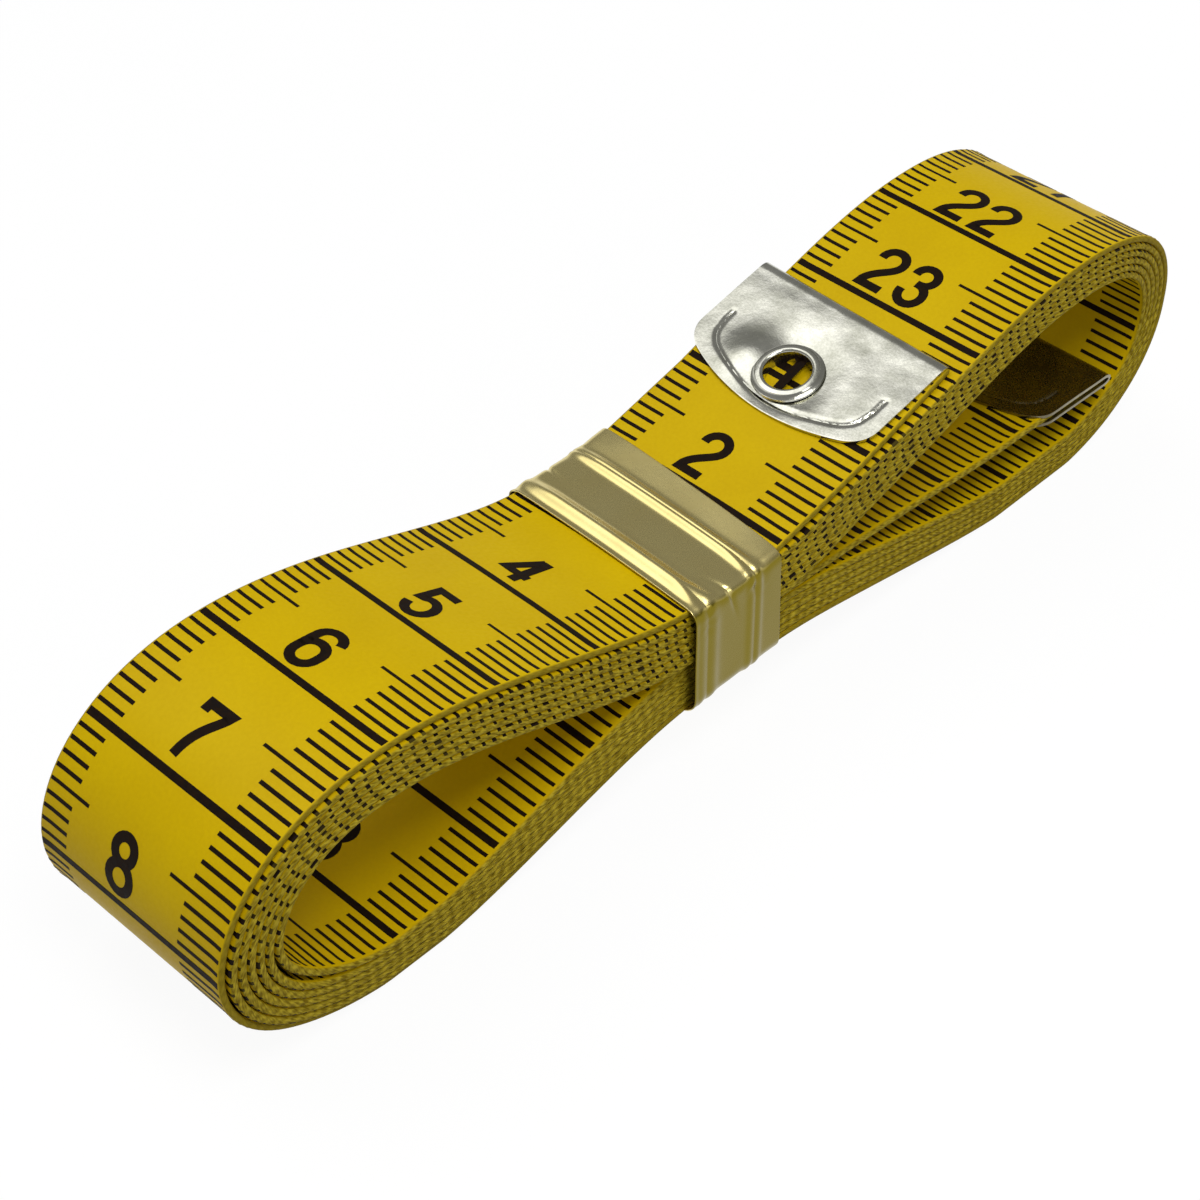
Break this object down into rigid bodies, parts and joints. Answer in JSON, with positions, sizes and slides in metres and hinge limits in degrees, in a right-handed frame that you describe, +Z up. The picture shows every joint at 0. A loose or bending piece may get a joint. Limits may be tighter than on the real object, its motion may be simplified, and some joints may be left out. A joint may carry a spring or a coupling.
{
  "type": "tailor's tape measure",
  "caption": "Flexible measuring tape wound into a flat dog-bone bundle, with folded metal tips, an eyelet and a foil band at its waist.",
  "frame": {"origin": "middle of the bundle's length and width, on the table that it lies on", "axes": "+X along the bundle towards the folded end of the tape's outer tip, +Y across the tape, +Z up"},
  "size_m": [0.103, 0.019, 0.0232],
  "materials": {
    "tape": "coated woven glass fibre, yellow, satin, printed in black",
    "tip_metal": "bright plated steel sheet",
    "foil": "thin gold-coloured foil, wrinkled"
  },
  "bodies": {
    "winding": {"tape_winding": "tape", "inner_tip": "tip_metal"},
    "band": {"band": "foil"},
    "free_end": {"tape_free_end": "tape", "outer_tip": "tip_metal", "outer_eyelet": "tip_metal"}
  },
  "joints": [
    {"name": "band_slide", "type": "slide", "parent": "winding", "child": "band", "axis": [1, 0, 0], "range_m": [-0.058, 0], "deforming": ["tape_winding"]},
    {"name": "free_end_lift", "type": "hinge", "parent": "winding", "child": "free_end", "pos_m": [0.00281, 0, 0.01533], "axis": [0, -1, 0], "range_deg": [0, 90]}
  ]
}
